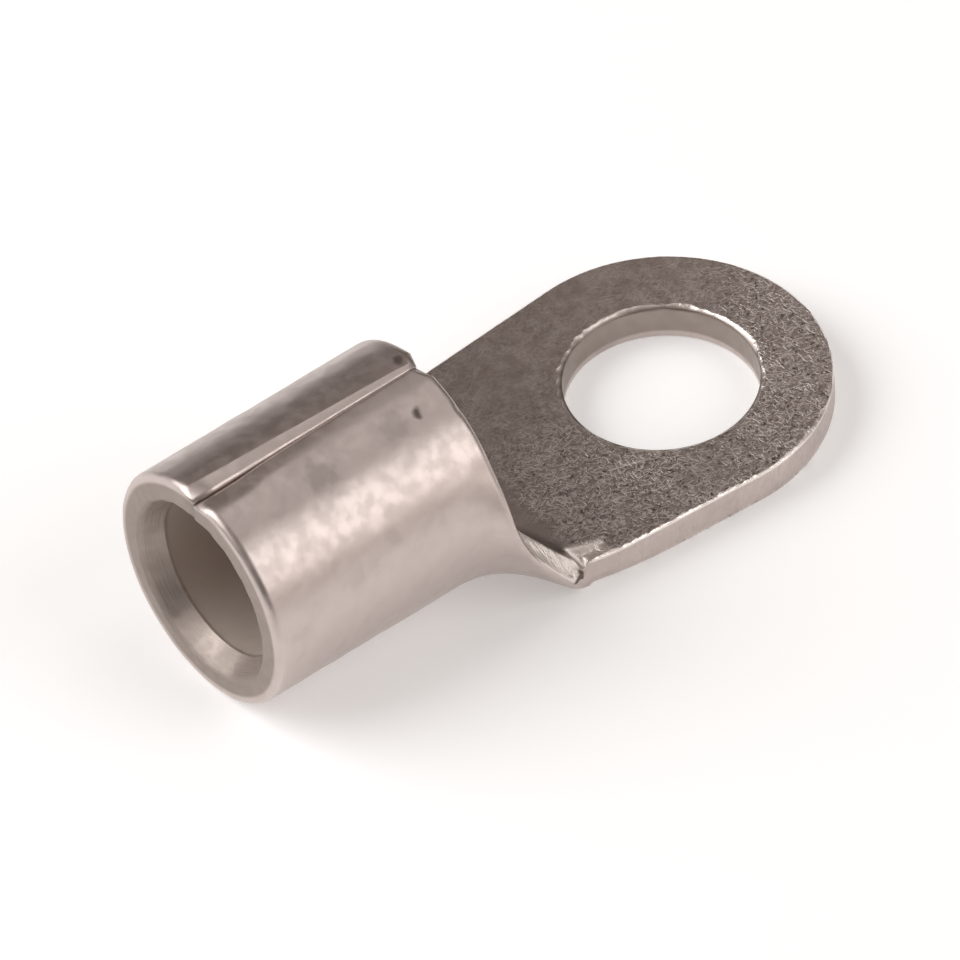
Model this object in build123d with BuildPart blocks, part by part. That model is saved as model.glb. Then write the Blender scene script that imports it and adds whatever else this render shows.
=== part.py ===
from build123d import *
import os
from math import cos, degrees, pi, radians, sin, tan

# A bare ring terminal: one piece of stamped sheet, rolled up at one end into a wire barrel.
# The origin is the centre of the stud hole on the tongue's underside, +X runs to the ring's tip,
# and the barrel lies along -X with its lowest line level with the tongue's underside.

# Stamping
sheet = 1.85             # thickness of the copper sheet
stud_hole_d = 8.6        # clearance hole for an 8 mm stud
ring_r = 7.47            # rounded tip, concentric with the hole
side_taper = 3.6         # degrees by which each side of the tongue closes towards the barrel
tongue_len = 8.9         # from the hole's centre to the end of the flat tongue
die_roll = 0.35          # rounding of the edges on the underside, which the punch rolls over

# Neck, where the sheet rises from flat to round
neck_len = 3.8           # from the end of the flat tongue to the end face of the barrel
neck_relief = 1.6        # concave radius where the sheared edge turns up into the barrel's end face
relief_steps = 5         # sections through the concave radius
rise_steps = 6           # sections from there to the flat tongue

# Wire barrel
barrel_od = 11.2
barrel_len = 12.4
spread_len = 0.9         # last stretch of the barrel, whose lower side already starts to open
spread_steps = 3
mouth_round = 0.45       # outer edge of the mouth
funnel_depth = 1.0       # bevel inside the mouth that leads the strands in, along the barrel
funnel_rise = 0.6        # the same bevel across the wall
seam_w_mouth = 1.0       # width of the closed seam's groove at the mouth
seam_w_end = 0.6         # and at the neck
seam_depth = 0.5         # depth of the groove below the barrel's top line

# Worked out from these, with the barrel's middle radius that of the middle of the sheet
barrel_r = barrel_od / 2
bore_r = barrel_r - sheet
mid_r = barrel_r - sheet / 2
neck_x = -tongue_len
end_x = neck_x - neck_len
spread_x = end_x - spread_len
mouth_x = end_x - barrel_len
tongue_half = ring_r / cos(radians(side_taper)) - tongue_len * tan(radians(side_taper))


def ease(share):
    """Smooth climb from 0 to 1, level at both ends."""
    return share * share * (3 - 2 * share)


def bend_radius(x):
    """Radius of the middle of the sheet at x: the barrel's own at first, endless at the flat tongue."""
    return mid_r / (1 - ease((x - spread_x) / (neck_x - spread_x)))


def neck_sections():
    """Places along the neck, each with half the width of the sheet there, measured round its bend."""
    places = []
    for step in range(relief_steps):
        turn = pi / 2 * step / relief_steps
        x = end_x + neck_relief * (1 - cos(turn))
        places.append((x, tongue_half + neck_relief * (1 - sin(turn))))
    start = end_x + neck_relief
    for step in range(rise_steps):
        places.append((start + (neck_x - start) * step / rise_steps, tongue_half))
    return places


with BuildPart() as tongue:
    with BuildSketch(Plane.XY):
        with BuildLine():
            tip = CenterArc((0, 0), ring_r, -90 - side_taper, 180 + 2 * side_taper)
            Polyline(tip @ 1, (neck_x, tongue_half), (neck_x, -tongue_half), tip @ 0)
        make_face()
        Circle(stud_hole_d / 2, mode=Mode.SUBTRACT)
    extrude(amount=sheet)
    underside = tongue.faces().sort_by(Axis.Z)[0]
    rolled = underside.outer_wire().edges().sort_by(Axis.X)[1:]
    fillet(rolled, radius=die_roll)

# Each section of the neck is a strip of the sheet bent to one radius, and the last is the flat tongue's end.
with BuildPart() as neck:
    for x, half in neck_sections():
        bend_r = bend_radius(x)
        outer_r = bend_r + sheet / 2
        inner_r = bend_r - sheet / 2
        reach = degrees(half / bend_r)
        with BuildSketch(Plane.YZ.offset(x)) as strip:
            with BuildLine():
                outer = CenterArc((0, outer_r), outer_r, -90 - reach, 2 * reach)
                inner = CenterArc((0, outer_r), inner_r, -90 - reach, 2 * reach)
                Line(outer @ 0, inner @ 0)
                Line(outer @ 1, inner @ 1)
            make_face()
            fillet(strip.vertices().sort_by_distance((0, outer_r))[-2:], radius=die_roll)
    add(tongue.faces().sort_by(Axis.X)[0])
    loft()

# The barrel is round. Along its last stretch the lower side has the neck's radius, and the arc over
# the top closes it at the barrel's own height.
with BuildPart() as barrel:
    with BuildSketch(Plane.YZ.offset(mouth_x)):
        with Locations((0, barrel_r)):
            Circle(barrel_r)
            Circle(bore_r, mode=Mode.SUBTRACT)
    extrude(amount=barrel_len - spread_len)
    for inset, mode in ((0, Mode.ADD), (sheet, Mode.SUBTRACT)):
        for step in range(spread_steps + 1):
            x = spread_x + spread_len * step / spread_steps
            bend_r = bend_radius(x)
            reach = degrees((tongue_half + neck_relief) / bend_r)
            with BuildSketch(Plane.YZ.offset(x)):
                with BuildLine():
                    centre = (0, bend_r + sheet / 2)
                    lower = CenterArc(centre, centre[1] - inset, -90 - reach, 2 * reach)
                    ThreePointArc(lower @ 1, (0, barrel_od - inset), lower @ 0)
                make_face()
        loft(mode=mode)
    fillet(barrel.faces().sort_by(Axis.X)[0].edges().sort_by(SortBy.RADIUS)[-1], radius=mouth_round)
    rim = barrel.faces().sort_by(Axis.X)[0]
    chamfer(rim.edges().sort_by(SortBy.RADIUS)[0], length=funnel_rise, length2=funnel_depth, reference=rim)
    # The two butted edges of the sheet leave a groove along the top that narrows towards the neck.
    for x, width in ((mouth_x, seam_w_mouth), (end_x, seam_w_end)):
        with BuildSketch(Plane.YZ.offset(x)):
            with BuildLine():
                Polyline(
                    (0, barrel_od - seam_depth),
                    (width / 2, barrel_od),
                    (-width / 2, barrel_od),
                    close=True,
                )
            make_face()
    loft(mode=Mode.SUBTRACT)

with BuildPart() as terminal:
    add(tongue.part)
    add(neck.part)
    add(barrel.part)

terminal.part.label = "terminal"
os.makedirs("parts", exist_ok=True)
export_step(terminal.part, "parts/terminal.step")
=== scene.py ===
# A bare ring terminal on a pale studio floor. The stamped blank is laid out flat, rolled up into the finished
# part as one closed sheet, and given its tin plating. Lengths in the dictionaries are millimetres.
import math
from functools import partial

import bmesh
import bpy
import numpy as np
from mathutils import Matrix, Vector


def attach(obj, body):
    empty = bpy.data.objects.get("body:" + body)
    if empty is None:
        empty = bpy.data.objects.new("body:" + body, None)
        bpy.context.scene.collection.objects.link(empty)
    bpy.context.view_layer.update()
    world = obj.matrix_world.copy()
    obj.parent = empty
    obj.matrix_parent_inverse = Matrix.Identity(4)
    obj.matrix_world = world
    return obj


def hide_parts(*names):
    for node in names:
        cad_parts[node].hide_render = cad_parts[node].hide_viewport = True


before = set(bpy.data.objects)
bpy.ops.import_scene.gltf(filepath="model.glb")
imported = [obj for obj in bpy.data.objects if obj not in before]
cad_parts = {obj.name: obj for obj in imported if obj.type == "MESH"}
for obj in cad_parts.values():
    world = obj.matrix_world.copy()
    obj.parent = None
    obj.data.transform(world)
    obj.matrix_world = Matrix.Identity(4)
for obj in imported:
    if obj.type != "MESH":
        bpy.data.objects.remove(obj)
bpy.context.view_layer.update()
print("frame loaded")

mm = 0.001

cameraSet = {
    "azimuth": -35.062,           # degrees round from the -Y side
    "elevation": 45.231,
    "roll": -4.515,
    "target": (-8.064, 0.0, 3.36),
    "targetPixel": (512.967, 440.408),
    "pixelsPerMm": 23.216,
    "framePixels": 960,
    "sensor": 36.0,
    "distance": 1300.0,           # far off, so the view has almost no perspective
}


def cameraAxes(c):
    # Right, up and backward directions of a camera turned round, raised and rolled by its three angles
    az, el, roll = (math.radians(c[k]) for k in ("azimuth", "elevation", "roll"))
    back = Vector((math.sin(az) * math.cos(el), -math.cos(az) * math.cos(el), math.sin(el)))
    flat = Vector((math.cos(az), math.sin(az), 0))
    lift = back.cross(flat)
    return flat * math.cos(roll) + lift * math.sin(roll), lift * math.cos(roll) - flat * math.sin(roll), back


def placeCamera(c):
    # The camera's centre line goes through the point whose picture falls on the middle of the frame
    right, up, back = cameraAxes(c)
    half = c["framePixels"] / 2
    centre = (Vector(c["target"]) + right * (half - c["targetPixel"][0]) / c["pixelsPerMm"]
              + up * (c["targetPixel"][1] - half) / c["pixelsPerMm"])
    data = bpy.data.cameras.new("camera")
    data.sensor_width = c["sensor"]
    data.lens = c["pixelsPerMm"] * c["distance"] * c["sensor"] / c["framePixels"]
    data.clip_start, data.clip_end = 0.05, 20      # metres
    camera = bpy.data.objects.new("camera", data)
    spot = (centre + back * c["distance"]) * mm
    camera.matrix_world = Matrix.Translation(spot) @ Matrix((right, up, back)).transposed().to_4x4()
    bpy.context.scene.collection.objects.link(camera)
    bpy.context.scene.camera = camera


placeCamera(cameraSet)
print("camera placed")

# The blank is laid out by x, along the part, and s, across it at the middle of the sheet. h runs through the sheet
# from its punched side, which becomes the underside and the outside of the barrel, to the other side.
blank = {
    "sheet": 1.85,
    "holeR": 4.3,
    "ringR": 7.47,
    "taper": 3.6,                 # degrees each side of the tongue closes towards the barrel
    "tongueLen": 8.9,
    "neckLen": 3.6,
    "reliefR": 1.3,               # concave corner where the neck widens into the barrel
    "barrelOd": 11.2,
    "barrelLen": 12.6,
    "openX": -14.52,              # the sheet starts to open here and is flat at flatX
    "flatX": -8.99,
    "flatPower": 3.39,            # how its flat middle widens between them
    "bendGrowth": 1.444,          # and by how much the bend beside it grows
    "bendPower": 1.905,
    "wingFrom": 6.9,              # the barrel's two wings stay shut beyond this far round
    "wingTo": 10.0,
    "endSkew": 0.06,              # the far wing ends this far beyond the middle, the near one short of it
    "endNotch": (0.36, 0.34),     # depth and width of the rounded-off corners where the seam runs out
    "endRun": (5.0, 3.0),         # the skew and the notch fade over these lengths of the barrel
    "mouthTilt": (0.14, 5.0),     # the mouth is cut this far out of square, fading over this length
    "pinch": (0.22, -9.7, 1.3),   # the tongue's corners are drawn in: how far, round which x, over what length
    "seamGap": 0.03,
    "frontX": -7.4,               # a strip of cells along the neck's edge starts here
    "deep": 2.7,                  # depth of that strip
    "firstDepth": 0.62,           # its cells beside the edge are this deep
    "step": 0.17,                 # size of the mesh's cells
}

edges = {
    "roll": (0.5, 0.45),          # width and height of the rounded edge on the punched side
    "cornerRoll": (0.4, 0.45),    # added to them at the tongue's corners
    "lip": (0.11, 0.08),          # edge on the other side
    "ragged": (0.15, 0.6),        # how unevenly wide it is, as a share, on the far and on the near side
    "endRoll": (0.36, 0.3),       # end face of the barrel, outside
    "mouthRoll": (0.2, 0.36),     # rounding outside the mouth, at the bottom and at the top
    "funnel": (1.05, 0.62, 0.2),  # bevel inside the mouth, and how much higher it is at the bottom
    "seamNear": (0.28, 0.22, 0.14, 0.12),    # width and depth of the seam's near flank, at the mouth and at the neck
    "seamFar": (0.62, 0.32, 0.2, 0.14),     # and of the far one
    "holeRoll": (0.16, 0.16),
    "holeLip": (0.21, 0.12),
    "support": 0.05,              # narrow ring of cells that keeps the flats flat beside an edge
}

sheet, ringR, holeR = blank["sheet"], blank["ringR"], blank["holeR"]
reliefR, deep = blank["reliefR"], blank["deep"]
midR = (blank["barrelOd"] - sheet) / 2
taper = math.radians(blank["taper"])
neckX = -blank["tongueLen"]
endX = neckX - blank["neckLen"]
mouthX = endX - blank["barrelLen"]
tangentX = -ringR * math.sin(taper)
neckHalf = ringR / math.cos(taper) - blank["tongueLen"] * math.tan(taper)
seamS = math.pi * midR - blank["seamGap"] / 2
reliefX, reliefS = endX + reliefR, neckHalf + reliefR
frontX = blank["frontX"]
tiny = 1e-6                       # points closer to a line than this are on it


def sideLine(x):
    # Half the blank's width: straight and tapered along the tongue, parallel along the neck
    return ringR / math.cos(taper) + np.maximum(x, neckX) * math.tan(taper)


def ease(t):
    # Smooth climb from 0 to 1, level at both ends
    t = np.clip(t, 0, 1)
    return t * t * (3 - 2 * t)


def mix(a, b, t):
    return a + (b - a) * t


def formed(x, s, h):
    # A strip at x has a flat middle and is bent to one radius on both sides of it. The flat half grows from
    # nothing to the whole width as a power of the share of the way, and the radius grows with it. Past wingFrom
    # the strip keeps the barrel's own radius, so the seam stays shut.
    drawn, middle, length = blank["pinch"]
    s = s - np.sign(s) * drawn * np.exp(-((x - middle) / length) ** 2) * ease((np.abs(s) - 4) / 2.5)
    a = np.abs(s)
    skewRun, notchRun = blank["endRun"]
    notchDepth, notchWidth = blank["endNotch"]
    tilt, tiltRun = blank["mouthTilt"]
    skew = blank["endSkew"] * np.sign(s) * ease((a - 5) / 4) * ease((x - endX + skewRun) / skewRun)
    skew = skew - notchDepth * np.exp(-((seamS - a) / notchWidth) ** 2) * ease((x - endX + notchRun) / notchRun)
    skew = skew + tilt * ease(a / seamS) * ease((mouthX + tiltRun - x) / tiltRun)

    def bent(flat, radius):
        turn = np.maximum(a - flat, 0) / radius
        arm = radius + sheet / 2 - h
        y = np.sign(s) * (np.minimum(a, flat) + arm * np.sin(turn))
        z = sheet / 2 + radius - arm * np.cos(turn)
        return np.stack(np.broadcast_arrays(x + skew, y, z), -1)

    way = np.clip((x - blank["openX"]) / (blank["flatX"] - blank["openX"]), 0, 1)
    flat = np.where(x >= blank["flatX"], 99, neckHalf * way ** blank["flatPower"])      # 99 is flat all over
    radius = midR * (1 + blank["bendGrowth"] * way ** blank["bendPower"])
    shut = ease((a - blank["wingFrom"]) / (blank["wingTo"] - blank["wingFrom"])) * (x < neckX)
    return mix(bent(flat, radius), bent(0, midR), shut[..., None])


def run(a, b, step=blank["step"]):
    # Even steps from a to b, each about as long as step
    return np.linspace(a, b, max(1, round(abs(b - a) / step)) + 1)


def atCorner(x):
    # 1 at the tongue's back corners, falling off as a bell curve that is narrower towards the barrel
    return np.exp(-(np.maximum(x - neckX, (neckX - x) * 1.4) / 2.2) ** 2)


def seamPart(x, s, part):
    # Width (part 0) or depth (part 1) of the seam's flank, running evenly from the mouth's value to the neck's
    along = np.clip((x - mouthX) / (endX - mouthX), 0, 1)
    near, far = edges["seamNear"], edges["seamFar"]
    return np.where(s < 0, mix(near[part], near[part + 2], along), mix(far[part], far[part + 2], along))


def rollWidth(x):
    # Width of the rounded edge on the punched side, wider at the tongue's corners
    return edges["roll"][0] + edges["cornerRoll"][0] * atCorner(x)


def drawnIn(x, s):
    # On the punched side, cells beside the tongue's corner draw in evenly to make room for its wide round
    inside = sideLine(x) - np.abs(s)
    room = (rollWidth(x) + edges["support"]) * ease((x - reliefX) / 0.5) * ease((frontX + 2 - x) / 1.5)
    return s - np.sign(s) * room * np.clip(1 - inside / deep, 0, 1) * (inside > tiny)


def mouthRound(a):
    # Rounding outside the mouth, growing round the barrel from its bottom to its top
    return mix(edges["mouthRoll"][0], edges["mouthRoll"][1], ease((a - 3.5) / 5))


def outlineShift(x, s, other):
    # Inward shift, on the punched or the other side, of the points that lie on the blank's outline. Each kind of
    # edge adds its own inward direction times its width, so a corner gets both of its edges' shifts.
    side, a = np.sign(s), np.abs(s)
    r = np.hypot(x, s)
    back = np.hypot(x - reliefX, a - reliefS)
    roll = rollWidth(x)
    ragged = mix(edges["ragged"][0], edges["ragged"][1], ease(1 - s))
    lip = edges["lip"][0] * np.maximum(0.3, 1 + ragged * (ripple(x, s, 0.4, 3) + ripple(x, s, 1.3, 11)) / 1.4)
    kinds = [
        (np.abs(r - holeR) < tiny, x / r, s / r, edges["holeRoll"][0],
         edges["holeLip"][0] * np.maximum(0.4, 1 + 0.16 * ripple(x, s, 0.5, 4) + 0.28 * ripple(x, s, 1.9, 12))),
        ((np.abs(r - ringR) < tiny) & (x > tangentX + tiny), -x / r, -s / r, roll, lip),
        ((np.abs(a - sideLine(x)) < tiny) & (x > frontX + tiny) & (x <= tangentX + tiny),
         math.sin(taper), -side * math.cos(taper), roll, lip),
        ((np.abs(a - sideLine(x)) < tiny) & (x <= frontX + tiny) & (x > reliefX + tiny), 0, -side, roll, lip),
        ((np.abs(back - reliefR) < tiny) & (x <= reliefX + tiny) & (a <= reliefS + tiny),
         (x - reliefX) / reliefR, (a - reliefS) * side / reliefR,
         mix(edges["endRoll"][0], roll, ease((x - endX) / reliefR)), lip),
        ((np.abs(x - endX) < tiny) & (a > reliefS + tiny), -1, 0, edges["endRoll"][0], lip),
        (np.abs(a - seamS) < tiny, 0, -side, seamPart(x, s, 0), lip),
        (np.abs(x - mouthX) < tiny, 1, 0, mouthRound(a), edges["funnel"][0]),
    ]
    dx, ds = np.zeros_like(x), np.zeros_like(x)
    for on, nx, ns, width, otherWidth in kinds:
        w = otherWidth if other else width
        dx += np.where(on, nx * w, 0)
        ds += np.where(on, ns * w, 0)
    return dx, ds


def edgeHeights(x, s):
    # Heights of the two rounded or bevelled edges along the outline, easing from one kind to the next
    a = np.abs(s)
    atSeam = ease((a - seamS + 1.2) / 1.2)
    atHole = np.hypot(x, s) < holeR + 0.01
    roll = edges["roll"][1] + edges["cornerRoll"][1] * atCorner(x)
    low = np.where(x > reliefX, roll, edges["endRoll"][1])
    low = np.where((x <= reliefX) & (a < reliefS), mix(edges["endRoll"][1], roll, ease((x - endX) / reliefR)), low)
    low = np.where(x < mouthX + 2, mouthRound(a), low)
    low = mix(low, seamPart(x, s, 1), atSeam * (x <= endX + tiny))
    low = np.where(atHole, edges["holeRoll"][1], low)
    funnel = edges["funnel"][1] + edges["funnel"][2] * (1 - ease((a - 2) / 7)) + 0.03 * ripple(x, s, 1.2, 9)
    high = mix(funnel, edges["lip"][1], ease((x - mouthX) / 1.2))
    return low, np.where(atHole, edges["holeLip"][1], high)


marks = {
    "ripple": ((2.2, 0.008), (0.9, 0.003)),      # sizes and heights of the barrel's unevenness
    # place x and s, half length and half width, depth: dents on the outside of the barrel
    "dents": ((-14.34, -12.95, 0.2, 0.16, 0.04), (-12.62, -12.3, 0.14, 0.2, 0.1), (-13.15, 13.95, 0.12, 0.5, 0.08),
              (-18.2, -9.55, 0.45, 0.3, 0.008), (-20.4, -8.85, 0.6, 0.4, 0.008), (-19.9, -12.9, 0.9, 0.4, 0.01)),
    # the near wing falls away to the seam: how far, and over what width, at shares of the way from the mouth
    "fall": ((0, 0.2, 0.35, 0.6, 0.8), (0.3, 0.27, 0.12, 0.04, 0.0), (1.2, 1.1, 0.65, 0.4, 0.3)),
    "insideRipple": (2.5, 0.006),
    # the near corner of the tongue: a three-cornered facet pressed down from the line a-b to its corner c
    "facetA": (-9.5, -5.6), "facetB": (-7.9, -6.05), "facetC": (-9.6, -7.1),
    "facetDepth": 0.6,
    "facetBack": -9.85,           # the facet ends here towards the barrel
    # a raised horn of metal beside a groove: the line between them, their heights and half widths, and how far
    # each lies from the line
    "hornRoot": (-8.4, -6.3), "hornTip": (-7.5, -5.75),
    "horn": (0.08, 0.09), "groove": (0.1, 0.08), "hornGap": 0.1,
    "crease": (-9.6, 0.9),        # where the neck's torn edge meets the tongue's smooth one, and its backward sweep
    "creaseSize": (0.2, 0.09),    # its depth and half width
    "tear": 0.045,                # roughness of the torn edge
    "score": 0.004,               # and of the other cut edges
}


def ripple(x, s, size, seed, waves=16):
    # A sum of plane waves, about size long, in random directions
    rng = np.random.default_rng(seed)
    total = 0
    for angle, phase, stretch in rng.uniform((0, 0, 0.7), (np.pi, 2 * np.pi, 1.5), (waves, 3)):
        total = total + np.sin((x * np.cos(angle) + s * np.sin(angle)) * 2 * np.pi / (size * stretch) + phase)
    return total / waves ** 0.5


def beside(x, s, a, b):
    # Signed distance from the line a-b, and the share of the way along it
    ax, bx = np.array(a), np.array(b)
    length = np.hypot(*(bx - ax))
    ux, us = (bx - ax) / length
    return (x - ax[0]) * us - (s - ax[1]) * ux, ((x - ax[0]) * ux + (s - ax[1]) * us) / length


def surface(x, s, h):
    # Finished place of a point of the blank. The punched face is pushed in by low, the other is raised by high, and
    # points between them move by shares of the two before the sheet is rolled up.
    onBarrel = ease((-11.5 - x) / 1.5)
    low = sum(height * (1.5 + ripple(x, s, size, 5)) for size, height in marks["ripple"]) * onBarrel
    for dx, ds, halfX, halfS, depth in marks["dents"]:
        low = low + depth * np.exp(-((x - dx) / halfX) ** 2 - ((s - ds) / halfS) ** 2)
    share = (x - mouthX) / (endX - mouthX)
    fallen, width = (np.interp(share, marks["fall"][0], marks["fall"][k]) for k in (1, 2))
    low = low + fallen * (1 - ease((seamS + s) / width)) * (s < 0) * onBarrel
    size, height = marks["insideRipple"]
    high = height * ripple(x, s, size, 6) * onBarrel
    a, b, c = (marks[key] for key in ("facetA", "facetB", "facetC"))
    pressed = np.clip(beside(x, s, a, b)[0] / beside(*c, a, b)[0], 0, 1)
    inside = ease(-beside(x, s, c, b)[0] / 0.1) * ease((x - marks["facetBack"]) / 0.2)
    high = high - marks["facetDepth"] * pressed * inside
    aside, way = beside(x, s, marks["hornRoot"], marks["hornTip"])
    shown = ease(way * 4) * ease((1.1 - way) * 2) * (s < 0)      # both fade at the ends of the line
    (horn, hornWidth), (groove, grooveWidth), gap = marks["horn"], marks["groove"], marks["hornGap"]
    high = high + horn * np.exp(-((aside + gap) / hornWidth) ** 2) * shown
    high = high - groove * np.exp(-((aside - gap) / grooveWidth) ** 2) * shown
    return formed(x, s, h + mix(np.maximum(low, 0), high, h / sheet))


points, places, quads = [], [], []


def addGrid(x, s, h, closed=False):
    # Takes one grid of blank points and joins neighbours into four-sided cells
    x, s, h = np.broadcast_arrays(x, s, h)
    index = sum(len(part) for part in points) + np.arange(x.size).reshape(x.shape)
    if closed:
        index = np.concatenate([index, index[:1]])
    points.append(surface(x, s, h).reshape(-1, 3))
    places.append(np.stack([x, s, h], -1).reshape(-1, 3))
    quads.append(np.stack([index[:-1, :-1], index[1:, :-1], index[1:, 1:], index[:-1, 1:]], -1).reshape(-1, 4))


def addFace(x, s, closed=False):
    # Both faces of the sheet over one patch of the blank, drawn in where the patch meets the outline
    for other, h in ((False, 0.0), (True, sheet)):
        dx, ds = outlineShift(x, s, other)
        length = np.hypot(dx, ds)
        grow = np.where(length > 0, 1 + edges["support"] / np.maximum(length, 1e-9), 0)
        addGrid(x + dx * grow, (s if other else drawnIn(x, s)) + ds * grow, h, closed)


def addEdge(x, s):
    # The edge of the sheet: a profile from one face round to the other, carried along a closed outline. It is a
    # quarter round or a straight bevel, a straight cut with its tears, and a second round or bevel.
    low, high = edgeHeights(x, s)
    lowX, lowS = outlineShift(x, s, False)
    highX, highS = outlineShift(x, s, True)
    lowLen, highLen = np.hypot(lowX, lowS), np.hypot(highX, highS)
    lowGrow, highGrow = 1 + edges["support"] / lowLen, 1 + edges["support"] / highLen
    ring = np.linspace(0, 1, 7)
    bulge = np.stack([1 - np.sin(ring * np.pi / 2), 1 - np.cos(ring * np.pi / 2)])     # quarter round
    rows = [(x + lowX * lowGrow, s + lowS * lowGrow, 0 * x)]
    straight = 0.92 * (np.abs(np.abs(s) - seamS) < tiny)      # the seam's flanks are nearly straight
    rows += [(x + lowX * mix(w, 1 - t, straight), s + lowS * mix(w, 1 - t, straight), low * t) for w, t in bulge.T]
    # the face between them is torn along the neck, and faintly scored elsewhere
    crease, sweep = marks["crease"]
    creaseDepth, creaseWidth = marks["creaseSize"]
    for t in np.linspace(0, 1, 9)[1:-1]:
        h = mix(low, sheet - high, t)
        off = x - crease + sweep * (1 - t) ** 2
        rough = mix(marks["score"], marks["tear"], ease(-off / 0.2) * ease((x - endX) / 0.5))
        inward = rough * (ripple(x, s + 0.35 * h, 0.45, 7) + 0.6 * ripple(x + h, s, 0.3, 8)) * np.sin(np.pi * t)
        inward = inward + creaseDepth * np.exp(-(off / creaseWidth) ** 2) * (np.abs(s) > 5)
        rows.append((x + lowX / lowLen * inward, s + lowS / lowLen * inward, h))
    # the funnel is a straight bevel, the lips of the neck and the tongue nearly so
    flat = np.maximum(ease((mouthX + 1.0 - x) * 4), 0.8 * ease((x - endX) / 0.5))
    for w, t in bulge.T[::-1]:
        rows.append((x + highX * mix(w, 1 - t, flat), s + highS * mix(w, 1 - t, flat), sheet - high * t))
    rows.append((x + highX * highGrow, s + highS * highGrow, sheet + 0 * x))
    addGrid(*(np.stack(part, -1) for part in zip(*rows)), closed=True)


# Rows along the part and columns across it, where the grids' lines run
depths = np.concatenate([[0], run(blank["firstDepth"], deep)])
halfTurn = round((reliefR + deep) / blank["step"])             # cells on each leg of the strip's inner corner
neckRows = run(frontX, reliefX, blank["step"] * 0.7)
cornerRows = np.linspace(reliefX, endX - deep, halfTurn + 1)
barrelRows = np.concatenate([run(endX - deep, mouthX + 1.3), [mouthX]])
middleCols = run(0, neckHalf - deep)
cornerCols = np.linspace(neckHalf - deep, reliefS, halfTurn + 1)
wingCols = np.concatenate([run(reliefS, seamS - 0.75), [seamS]])
halfCols = np.concatenate([middleCols, cornerCols[1:], wingCols[1:]])
allCols = np.concatenate([-halfCols[::-1], halfCols[1:]])
centreCols = np.concatenate([-middleCols[::-1], middleCols[1:]])

# Strip along the neck's side, round the relief and along the barrel's end face: lines at growing depths from the
# outline, which pass from arcs about the relief's centre to a square corner
turn = np.linspace(-np.pi / 2, -np.pi, 2 * halfTurn + 1)
arcX, arcS = np.cos(turn), np.sin(turn)
squareX = np.concatenate([cornerRows, np.full(halfTurn, endX - deep)])
squareS = np.concatenate([np.full(halfTurn, neckHalf - deep), cornerCols])
toSquare = (depths / deep) ** 3
stripX = np.concatenate([
    neckRows[:-1, None] + 0 * depths,
    mix(reliefX + (reliefR + depths) * arcX[:, None], squareX[:, None], toSquare),
    endX - depths + 0 * wingCols[1:, None],
])
stripS = np.concatenate([
    mix(sideLine(neckRows[:-1, None]), neckHalf - deep, depths / deep),
    mix(reliefS + (reliefR + depths) * arcS[:, None], squareS[:, None], toSquare),
    wingCols[1:, None] + 0 * depths,
])

# Tongue: rays from the hole to the outline and, at the back, to the row of points where the neck starts
ringTurn = run(-math.pi / 2 - taper, math.pi / 2 + taper, blank["step"] / ringR)
sideX = run(tangentX, frontX)[1:]
sideS = sideLine(sideX)
backS = np.concatenate([stripS[0, 1:], centreCols[::-1][1:-1], -stripS[0, :0:-1]])
rimX = np.concatenate([ringR * np.cos(ringTurn), sideX, frontX + 0 * backS, sideX[::-1]])
rimS = np.concatenate([ringR * np.sin(ringTurn), sideS, backS, -sideS[::-1]])
reach = np.hypot(rimX, rimS)
onBack = (np.abs(rimX - frontX) < tiny) & (np.abs(rimS) < sideLine(frontX) - tiny)
rayEnd = reach - np.where(onBack, 0.3, 0.9)
rays = np.concatenate([
    np.full((len(reach), 1), holeR),
    mix(holeR + 0.5, rayEnd[:, None], np.linspace(0, 1, 12)),
    reach[:, None],
], 1)
rayX, rayS = rays * (rimX / reach)[:, None], rays * (rimS / reach)[:, None]

addFace(rayX, rayS, closed=True)
addFace(*np.meshgrid(np.concatenate([neckRows, cornerRows[1:]]), centreCols, indexing="ij"))
addFace(*np.meshgrid(barrelRows, allCols, indexing="ij"))
for side in (1, -1):
    addFace(stripX, side * stripS)

# The outline runs from the tip round one side to the mouth and back along the other
seamRows = np.concatenate([endX - depths[1:], barrelRows[1:]])
halfX = np.concatenate([sideX, stripX[1:, 0], seamRows])
halfS = np.concatenate([sideS, stripS[1:, 0], seamS + 0 * seamRows])
outX = np.concatenate([ringR * np.cos(ringTurn), halfX, mouthX + 0 * allCols[1:-1], halfX[::-1]])
outS = np.concatenate([ringR * np.sin(ringTurn), halfS, allCols[::-1][1:-1], -halfS[::-1]])
addEdge(outX, outS)
addEdge(holeR * rimX / reach, holeR * rimS / reach)
print("blank formed")


def makePiece(name):
    # One closed mesh from all the grids, with each point's place on the flat blank kept as an attribute
    mesh = bpy.data.meshes.new(name)
    mesh.from_pydata((np.concatenate(points) * mm).tolist(), [], np.concatenate(quads).tolist())
    place = mesh.attributes.new("blank", "FLOAT_VECTOR", "POINT")
    place.data.foreach_set("vector", np.concatenate(places).astype(np.float32).ravel())
    shell = bmesh.new()
    shell.from_mesh(mesh)
    bmesh.ops.remove_doubles(shell, verts=shell.verts, dist=1e-7)
    bmesh.ops.recalc_face_normals(shell, faces=shell.faces)
    openEdges = sum(1 for e in shell.edges if len(e.link_faces) != 2)
    print(name + ":", len(shell.verts), "points,", len(shell.faces), "faces,", openEdges, "open edges")
    shell.to_mesh(mesh)
    shell.free()
    mesh.shade_smooth()
    piece = bpy.data.objects.new(name, mesh)
    bpy.context.scene.collection.objects.link(piece)
    return piece


terminal = makePiece("ringTerminal")


def linear(code):
    # sRGB hex to linear colour
    parts = [int(code[i:i + 2], 16) / 255 for i in (1, 3, 5)]
    return [c / 12.92 if c <= 0.04045 else ((c + 0.055) / 1.055) ** 2.4 for c in parts] + [1.0]


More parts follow.
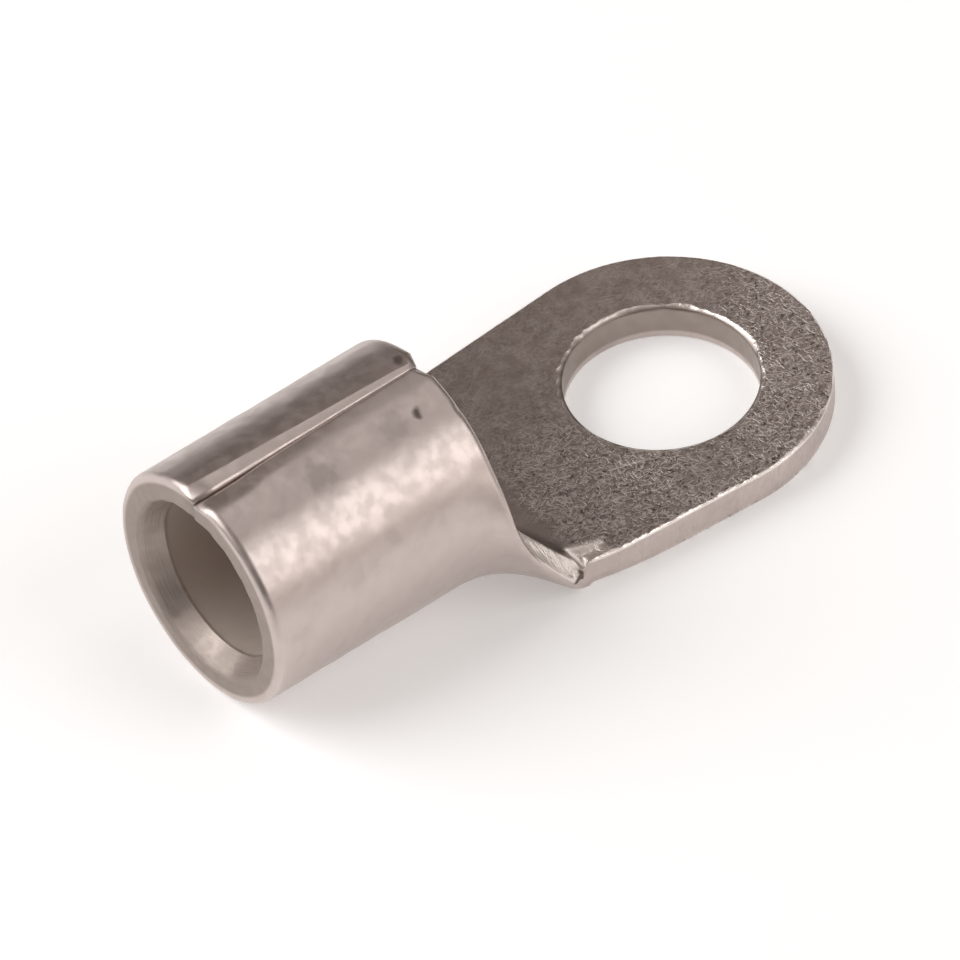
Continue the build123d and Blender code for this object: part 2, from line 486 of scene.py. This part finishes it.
def addNode(tree, kind, inputs=(), **settings):
    # Adds one node and returns its outputs. A word after a dot in the kind is its operation. Each input is a value
    # or another node's output, in the order of the node's own sockets or by their names or numbers.
    name, _, operation = kind.partition(".")
    node = tree.nodes.new("ShaderNode" + name)
    if operation:
        node.operation = operation
    for key, value in settings.items():
        setattr(node, key, value)
    for key, value in inputs.items() if isinstance(inputs, dict) else enumerate(inputs):
        if isinstance(value, bpy.types.NodeSocket):
            tree.links.new(value, node.inputs[key])
        else:
            node.inputs[key].default_value = value
    return node.outputs


def newMaterial(name):
    # A node material with no nodes yet
    material = bpy.data.materials.new(name)
    material.use_nodes = True
    material.node_tree.nodes.clear()
    return material, material.node_tree


# Electroplated tin on rolled copper sheet: a warm pale grey metal, satin where it was bent round the mandrel, with
# the fine random grain of tumbled blanks on the tongue, torn and brighter where it was sheared, and scored in
# rings where the mouth was reamed. Scales below are sizes in millimetres on the part.
plating = {
    "colour": "#CABEB9",
    "deepColour": "#6F645F",      # in the pits of the grain, in blotches and stains, and as painted shade on the tongue's top beside the neck and along the crease in the neck's edge
    "hairAndHighlightColour": "#F2EAE4",      # burnished crests of the grain, torn metal and the scratch, and painted highlights on the pressed facet and along the burr at the top edge
    "cutColour": "#A1968F",       # the mouth's face and bevel and the hole's wall
    "boreColour": "#BBAFA6",      # dull inside of the barrel
    "boreMetal": 0.35,
    "roughness": (0.28, 0.38),
    "cutRoughness": 0.12,         # added on cut metal and inside the barrel
    "satinRoughness": 0.06,       # added on the barrel, which the mandrel left satin
    "blotches": (0.14, 0.08),     # darkening of the soft patches, on the tongue and on the barrel
    "neckShade": 0.34,              # painted shade: darkening of the tongue's top face beside the neck
    "hairTurns": (0.2, 0.85, 1.5, 2.1, 2.7),
    "hairHeight": 0.01,           # heights in millimetres
    "pitHeight": 0.016,
    "mottleHeight": 0.003,
    "tearHeight": 0.12,
    "ringHeight": 0.02,
    # sizes of the patterns along x, s and h, turn in the plane of the sheet, octaves and their roughness
    "patterns": {
        "hair": ((0.38, 0.11, 1.0), 0.0, 1.0, 0.5),      # the real hairlines are about half as wide
        "pits": ((0.24, 0.24, 0.24), 0.0, 3.0, 0.65),
        "cover": ((2.8, 2.8, 2.8), 0.0, 2.0, 0.5),      # where the grain is dense
        "mottle": ((1.5, 0.9, 1.0), -0.4, 3.0, 0.55),   # uneven patches of the barrel
        "satin": ((0.3, 0.12, 0.2), 0.1, 2.0, 0.5),
        "rings": ((0.09, 3.0, 0.09), 0.0, 3.0, 0.75),   # reamer's rings, coarser than the real ones so that they show
        "ridges": ((0.35, 0.35, 1.2), 0.0, 4.0, 0.7),   # torn metal
        "gloss": ((0.7, 0.7, 0.7), 0.0, 3.0, 0.5),
        "ragged": ((0.5, 0.5, 0.5), 0.0, 3.0, 0.5),
    },
    # x, s and size of stained spots outside the barrel, and how dark they are
    "spots": ((-14.34, -12.95, 0.26, 1.0), (-18.2, -9.55, 0.5, 0.12), (-20.4, -8.85, 0.6, 0.1),
              (-19.8, -12.8, 0.9, 0.3), (-15.6, -12.9, 0.8, 0.25), (-13.2, 14.0, 0.3, 0.6)),
    "scratch": ((-4.74, -3.11), (-3.43, -3.54), 0.05),   # ends and half width of the long scratch
}


def tinMaterial(name, p):
    material, tree = newMaterial(name)
    add = partial(addNode, tree)
    smooth = {"interpolation_type": "SMOOTHSTEP"}
    place = add("Attribute", attribute_name="blank")["Vector"]
    x, s, h = add("SeparateXYZ", (place,))
    # the hairlines wander a little
    wander = add("TexNoise", {"Vector": place, "Scale": 1.6})["Color"]
    bent = add("VectorMath.MULTIPLY_ADD", (wander, (0.5, 0.5, 0.5), place))[0]

    patterns = dict(p["patterns"])
    size, _, octaves, harsh = patterns.pop("hair")
    for k, turn in enumerate(p["hairTurns"]):
        patterns[f"hair{k}"] = (size, turn, octaves, harsh)
    noise = {}
    for key, (size, turn, octaves, harsh) in patterns.items():
        source = bent if key.startswith("hair") else place
        spot = add("Mapping", {"Vector": source, "Rotation": (0, 0, turn), "Scale": size}, vector_type="TEXTURE")[0]
        noise[key] = add("TexNoise", {"Vector": spot, "Scale": 1.0, "Detail": octaves, "Roughness": harsh})[0]

    # Places on the part: each climbs smoothly from 0 to 1 between two values of something
    fromHole = add("VectorMath.LENGTH", (place,))["Value"]
    lowered = add("Math.MULTIPLY_ADD", (x, 0.35, add("Math.MULTIPLY", (s, -1.0))[0]))[0]
    swept = add("Math.POWER", (add("Math.MULTIPLY_ADD", (h, -1 / sheet, 1.0))[0], 2.0))[0]
    swept = add("Math.MULTIPLY_ADD", (swept, marks["crease"][1], x))[0]
    wavyX = add("Math.ADD", (x, noise["gloss"]))[0]
    (ax, ay), (bx, by) = marks["facetA"], marks["facetB"]
    length = math.hypot(bx - ax, by - ay)
    fromFacet = add("VectorMath.DOT_PRODUCT", (place, ((by - ay) / length, (ax - bx) / length, 0)))["Value"]
    fromFacet = add("Math.SUBTRACT", (fromFacet, (ax * by - ay * bx) / length))[0]
    spans = {
        "onBarrel": (x, -11.0, -13.0), "faceUp": (h, sheet * 0.9, sheet * 0.99), "notFace": (h, 0.3, 0.5),
        "underFace": (h, sheet - 0.02, sheet - 0.1), "mouthEnd": (x, mouthX + 1.25, mouthX + 1.0),
        "bevelled": (h, 0.6, 0.9), "mouthFace": (x, mouthX + 0.6, mouthX + 0.3), "beforeNeck": (wavyX, -9.4, -8.1),
        "behindCrease": (swept, marks["crease"][0] - 0.03, marks["crease"][0] - 0.1), "beforeEnd": (x, -13.0, -12.3),
        "holeWall": (fromHole, 5.2, 4.9), "lower": (lowered, -5.5, 2.5), "covered": (noise["cover"], 0.35, 0.6),
        "shadeTowardNeck": (x, 6.0, -10.0), "pitted": (noise["pits"], 0.5, 0.32), "glossy": (noise["gloss"], 0.35, 0.65),
        "blotched": (noise["mottle"], 0.48, 0.3), "pressed": (fromFacet, 0.0, 0.12), "facetEnd": (x, -7.9, -8.15),
        "facetStart": (x, -9.75, -9.65), "nearSide": (s, 1.0, 0.0),
    }
    at = {key: add("MapRange", span, **smooth)[0] for key, span in spans.items()}
    onTongue = add("Math.SUBTRACT", (1.0, at["onBarrel"]))[0]
    reamed = add("Math.MULTIPLY", (at["mouthEnd"], at["bevelled"]))[0]
    inBore = add("Math.MULTIPLY", (at["onBarrel"], at["faceUp"]))[0]
    inBore = add("Math.MULTIPLY", (inBore, add("Math.SUBTRACT", (1.0, reamed))[0]))[0]
    edge = add("Math.MULTIPLY", (at["notFace"], at["underFace"]))[0]
    torn = add("Math.MULTIPLY", (at["behindCrease"], at["beforeEnd"]))[0]
    torn = add("Math.MULTIPLY", (torn, edge))[0]
    cut = add("Math.MAXIMUM", (at["mouthFace"], at["holeWall"]))[0]
    cut = add("Math.MAXIMUM", (add("Math.MULTIPLY", (cut, edge))[0], reamed))[0]
    # painted highlight: the pressed facet at the tongue's near corner, which faces the light, is lightened
    facetHighlight = add("Math.MULTIPLY", (at["pressed"], at["facetStart"]))[0]
    facetHighlight = add("Math.MULTIPLY", (facetHighlight, at["facetEnd"]))[0]
    facetHighlight = add("Math.MULTIPLY", (facetHighlight, at["faceUp"]))[0]
    # painted highlight: a thin band at the top of the tongue's near edge and of the hole's wall, along the burr, is
    # lightened
    burrHighlight = add("Math.COMPARE", (h, sheet - 0.07, 0.065))[0]
    burrHighlight = add("Math.MULTIPLY", (burrHighlight, onTongue))[0]
    burrHighlight = add("Math.MULTIPLY", (burrHighlight, add("Math.MAXIMUM", (at["nearSide"], at["holeWall"]))[0]))[0]
    dull = add("Math.MAXIMUM", (add("Math.MAXIMUM", (edge, reamed))[0], inBore))[0]

    # Tongue: short curly hairlines in several directions over pits, dense on the near side, faint near the neck
    dense = add("Math.MULTIPLY_ADD", (at["covered"], 0.35, 0.65))[0]
    dense = add("Math.MULTIPLY", (dense, add("Math.MULTIPLY_ADD", (at["lower"], 0.75, 0.25))[0]))[0]
    dense = add("Math.MULTIPLY", (dense, add("Math.MULTIPLY_ADD", (at["beforeNeck"], 0.9, 0.1))[0]))[0]
    dense = add("Math.MULTIPLY", (dense, onTongue))[0]
    smoothWall = add("Math.SUBTRACT", (1.0, at["faceUp"]))[0]
    smoothWall = add("Math.MULTIPLY", (smoothWall, at["holeWall"]))[0]
    smoothWall = add("Math.MAXIMUM", (smoothWall, edge))[0]
    dense = add("Math.MULTIPLY", (dense, add("Math.MULTIPLY_ADD", (smoothWall, -0.9, 1.0))[0]))[0]
    hairs = 0.0
    for k in range(len(p["hairTurns"])):
        line = add("MapRange", (noise[f"hair{k}"], 0.57, 0.7), **smooth)[0]
        hairs = add("Math.MAXIMUM", (hairs, line))[0]
    hairs = add("Math.MULTIPLY", (hairs, dense))[0]
    pits = add("Math.MULTIPLY", (noise["pits"], dense))[0]
    grain = add("Math.MULTIPLY_ADD", (hairs, p["hairHeight"], add("Math.MULTIPLY", (pits, p["pitHeight"]))[0]))[0]
    # Barrel: soft uneven patches and a finer satin, drawn out a little along it
    mottled = add("Math.MULTIPLY_ADD", (noise["satin"], 0.06, noise["mottle"]))[0]
    mottled = add("Math.MULTIPLY", (mottled, p["mottleHeight"]))[0]
    height = add("Mix", {0: at["onBarrel"], 2: grain, 3: mottled})[0]
    height = add("Math.MULTIPLY", (height, add("Math.MULTIPLY_ADD", (dull, -0.5, 1.0))[0]))[0]
    ridges = add("Math.MULTIPLY", (noise["ridges"], torn))[0]
    height = add("Math.MULTIPLY_ADD", (ridges, p["tearHeight"], height))[0]
    rings = add("Math.MULTIPLY", (noise["rings"], p["ringHeight"]))[0]
    height = add("Mix", {0: reamed, 2: height, 3: rings})[0]
    bump = add("Bump", {"Height": height, "Distance": mm, "Strength": 1.0})[0]

    # Darkening: pits, blotches and spots of the barrel, and painted shade on the tongue's top beside the neck and
    # along the crease in the neck's edge
    dark = add("MapRange", (at["onBarrel"], 0.0, 1.0, p["blotches"][0], p["blotches"][1]))[0]
    dark = add("Math.MULTIPLY", (at["blotched"], dark))[0]
    for sx, ss, size, depth in p["spots"]:
        away = add("VectorMath.DISTANCE", (place, (sx, ss, 0)))["Value"]
        away = add("Math.MULTIPLY_ADD", (noise["ragged"], size * 1.6, away))[0]
        spot = add("MapRange", (away, size * 2.0, size * 1.1, 0.0, depth), **smooth)[0]
        dark = add("Math.MAXIMUM", (dark, spot))[0]
    dark = add("Math.MAXIMUM", (dark, add("Math.MULTIPLY", (at["pitted"], dense))[0]))[0]
    # painted shade: the tongue's top face darkens towards the neck
    neckShade = add("Math.MULTIPLY", (at["shadeTowardNeck"], add("Math.MULTIPLY", (onTongue, p["neckShade"]))[0]))[0]
    neckShade = add("Math.MULTIPLY", (neckShade, at["faceUp"]))[0]
    dark = add("Math.ADD", (dark, neckShade))[0]
    # painted shade along the crease where the neck's torn edge meets the tongue's smooth one
    creaseShade = add("Math.COMPARE", (swept, marks["crease"][0] + 0.02, 0.06))[0]
    dark = add("Math.MAXIMUM", (dark, add("Math.MULTIPLY", (creaseShade, edge))[0]))[0]
    # One long scratch across the tongue
    (ax, ay), (bx, by), wide = p["scratch"]
    length = math.hypot(bx - ax, by - ay)
    ux, uy = (bx - ax) / length, (by - ay) / length
    along = add("VectorMath.DOT_PRODUCT", (place, (ux, uy, 0)))["Value"]
    aside = add("VectorMath.DOT_PRODUCT", (place, (-uy, ux, 0)))["Value"]
    ends = add("Math.COMPARE", (along, (ax + bx) / 2 * ux + (ay + by) / 2 * uy, length / 2))[0]
    line = add("Math.COMPARE", (aside, ay * ux - ax * uy, wide))[0]
    scratch = add("Math.MULTIPLY", (add("Math.MULTIPLY", (ends, line))[0], onTongue))[0]
    # Lightened: hairlines, torn metal and the scratch, and as painted highlights the pressed facet and the burr along
    # the top edge
    bright = add("Math.MAXIMUM", (add("Math.MAXIMUM", (hairs, torn))[0], scratch))[0]
    bright = add("Math.MAXIMUM", (bright, add("Math.MAXIMUM", (facetHighlight, burrHighlight))[0]))[0]

    colour = add("Mix", {0: dark, 6: linear(p["colour"]), 7: linear(p["deepColour"])}, data_type="RGBA")[2]
    for share, key in ((bright, "hairAndHighlightColour"), (cut, "cutColour"), (inBore, "boreColour")):
        colour = add("Mix", {0: share, 6: colour, 7: linear(p[key])}, data_type="RGBA")[2]
    rough = add("MapRange", (at["glossy"], 0.0, 1.0, *p["roughness"]))[0]
    rough = add("Math.MULTIPLY_ADD", (dull, p["cutRoughness"], rough))[0]
    rough = add("Math.MULTIPLY_ADD", (at["onBarrel"], p["satinRoughness"], rough))[0]
    metal = add("MapRange", (inBore, 0.0, 1.0, 1.0, p["boreMetal"]))[0]
    shader = add("BsdfPrincipled", {"Base Color": colour, "Metallic": metal, "Roughness": rough, "Normal": bump})[0]
    add("OutputMaterial", (shader,))
    return material


terminal.data.materials.append(tinMaterial("tinPlatedCopper", plating))
print("tin plating made")

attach(terminal, "root")
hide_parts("terminal")

studio = {
    "floorSize": 2.0,             # metres
    "floorColour": "#F8F8F8",
    "floorGlow": 0.28,            # the floor is a dim light table
    "floorGrain": 0.6,            # size of the paper's faint tooth, in millimetres
    "wallColour": "#857C77",
    "walls": (0.2, 0.8, 0.55, 1.15),               # the room is darker low down than high up
    "screen": ((0.41, -0.9, 0.1), 0.8, 0.97, 1.7), # pale screen under the key light
    # name: direction from the part, distance in metres, half its angle across in degrees, brightness
    "lights": {
        "key": ((0.41, -0.66, 0.58), 0.45, 21, 1.8),
        "top": ((0.42, 0.08, 0.9), 0.5, 17, 0.68),
        "backLeft": ((-0.6, 0.5, 0.62), 0.5, 27, 3.2),
    },
}


def makeFloor():
    half = studio["floorSize"] / 2
    mesh = bpy.data.meshes.new("floor")
    mesh.from_pydata([(-half, -half, 0), (half, -half, 0), (half, half, 0), (-half, half, 0)], [], [(0, 1, 2, 3)])
    floor = bpy.data.objects.new("floor", mesh)
    bpy.context.scene.collection.objects.link(floor)
    # Matt white paper: even, with a faint tooth
    paper, tree = newMaterial("matPaper")
    place = addNode(tree, "TexCoord")["Object"]
    tooth = addNode(tree, "TexNoise", {"Vector": place, "Scale": 1 / (studio["floorGrain"] * mm), "Detail": 3.0})[0]
    bump = addNode(tree, "Bump", {"Height": tooth, "Distance": 0.00001, "Strength": 0.4})[0]
    white = linear(studio["floorColour"])
    shader = addNode(tree, "BsdfPrincipled", {"Base Color": white, "Roughness": 0.9, "Normal": bump,
                                              "Emission Color": white, "Emission Strength": studio["floorGlow"]})[0]
    addNode(tree, "OutputMaterial", (shader,))
    floor.data.materials.append(paper)
    floor.location.z = -0.00001


def makeLights():
    middle = Vector(cameraSet["target"]) * mm
    for name, (way, distance, spread, brightness) in studio["lights"].items():
        data = bpy.data.lights.new(name, "AREA")
        radius = distance * math.tan(math.radians(spread))
        data.shape, data.size = "DISK", 2 * radius
        data.energy = brightness * math.pi * math.pi * radius ** 2
        lamp = bpy.data.objects.new(name, data)
        way = Vector(way).normalized()
        lamp.location = middle + way * distance
        lamp.rotation_euler = way.to_track_quat("Z", "Y").to_euler()
        bpy.context.scene.collection.objects.link(lamp)
    world = bpy.data.worlds.new("studio")
    world.use_nodes = True
    tree = world.node_tree
    tree.nodes.clear()
    way = addNode(tree, "TexCoord")["Generated"]
    walls = addNode(tree, "MapRange", (addNode(tree, "SeparateXYZ", (way,))[2], *studio["walls"]))[0]
    toward, low, high, glow = studio["screen"]
    screen = addNode(tree, "VectorMath.DOT_PRODUCT", (way, toward))["Value"]
    screen = addNode(tree, "MapRange", (screen, low, high, 0.0, glow), interpolation_type="SMOOTHSTEP")[0]
    strength = addNode(tree, "Math.ADD", (walls, screen))[0]
    back = addNode(tree, "Background", {"Color": linear(studio["wallColour"]), "Strength": strength})[0]
    addNode(tree, "OutputWorld", (back,))
    bpy.context.scene.world = world


makeFloor()
makeLights()
bpy.context.scene.view_settings.view_transform = "Standard"
print("studio set")
